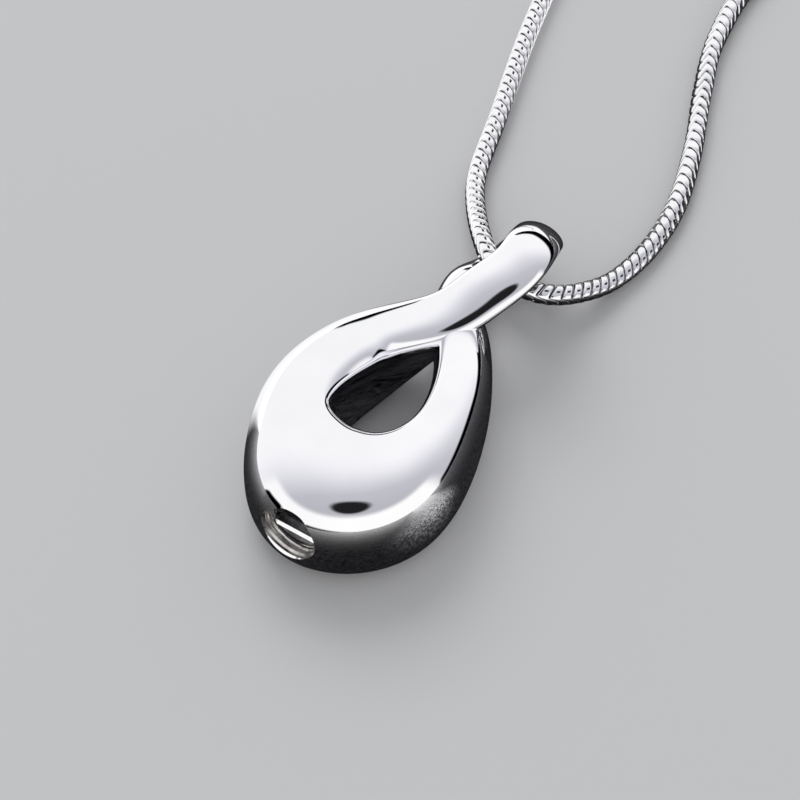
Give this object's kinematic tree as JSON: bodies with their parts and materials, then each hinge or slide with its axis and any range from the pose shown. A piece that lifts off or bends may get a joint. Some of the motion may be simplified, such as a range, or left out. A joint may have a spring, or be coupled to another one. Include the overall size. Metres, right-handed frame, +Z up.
{
  "type": "loop urn pendant necklace",
  "caption": "Teardrop loop pendant with a crossed-over bail and a threaded filler hole with a slotted plug, lying on a round snake chain with a barrel clasp.",
  "frame": {"origin": "on the surface that the necklace lies on, at the middle of the necklace's box", "axes": "+Z up, +Y from the foot of the pendant through its bail to the clasp, +X across the pendant, with the filler hole facing -Y"},
  "size_m": [0.1158, 0.2261, 0.009],
  "materials": {
    "polished_steel": "mirror-polished stainless steel",
    "screw_steel": "turned stainless steel with a light polish",
    "chain_steel": "polished stainless steel plates",
    "clasp_steel": "polished stainless steel"
  },
  "bodies": {
    "necklace": {"pendant_body": "polished_steel", "snake_chain": "chain_steel", "end_cap_left": "clasp_steel", "end_cap_right": "clasp_steel", "clasp_barrel": "clasp_steel"},
    "screw": {"filler_screw": "screw_steel"}
  },
  "joints": [
    {"name": "screw_out", "type": "slide", "parent": "necklace", "child": "screw", "axis": [0, -1, 0], "range_m": [0, 0.0065]}
  ]
}
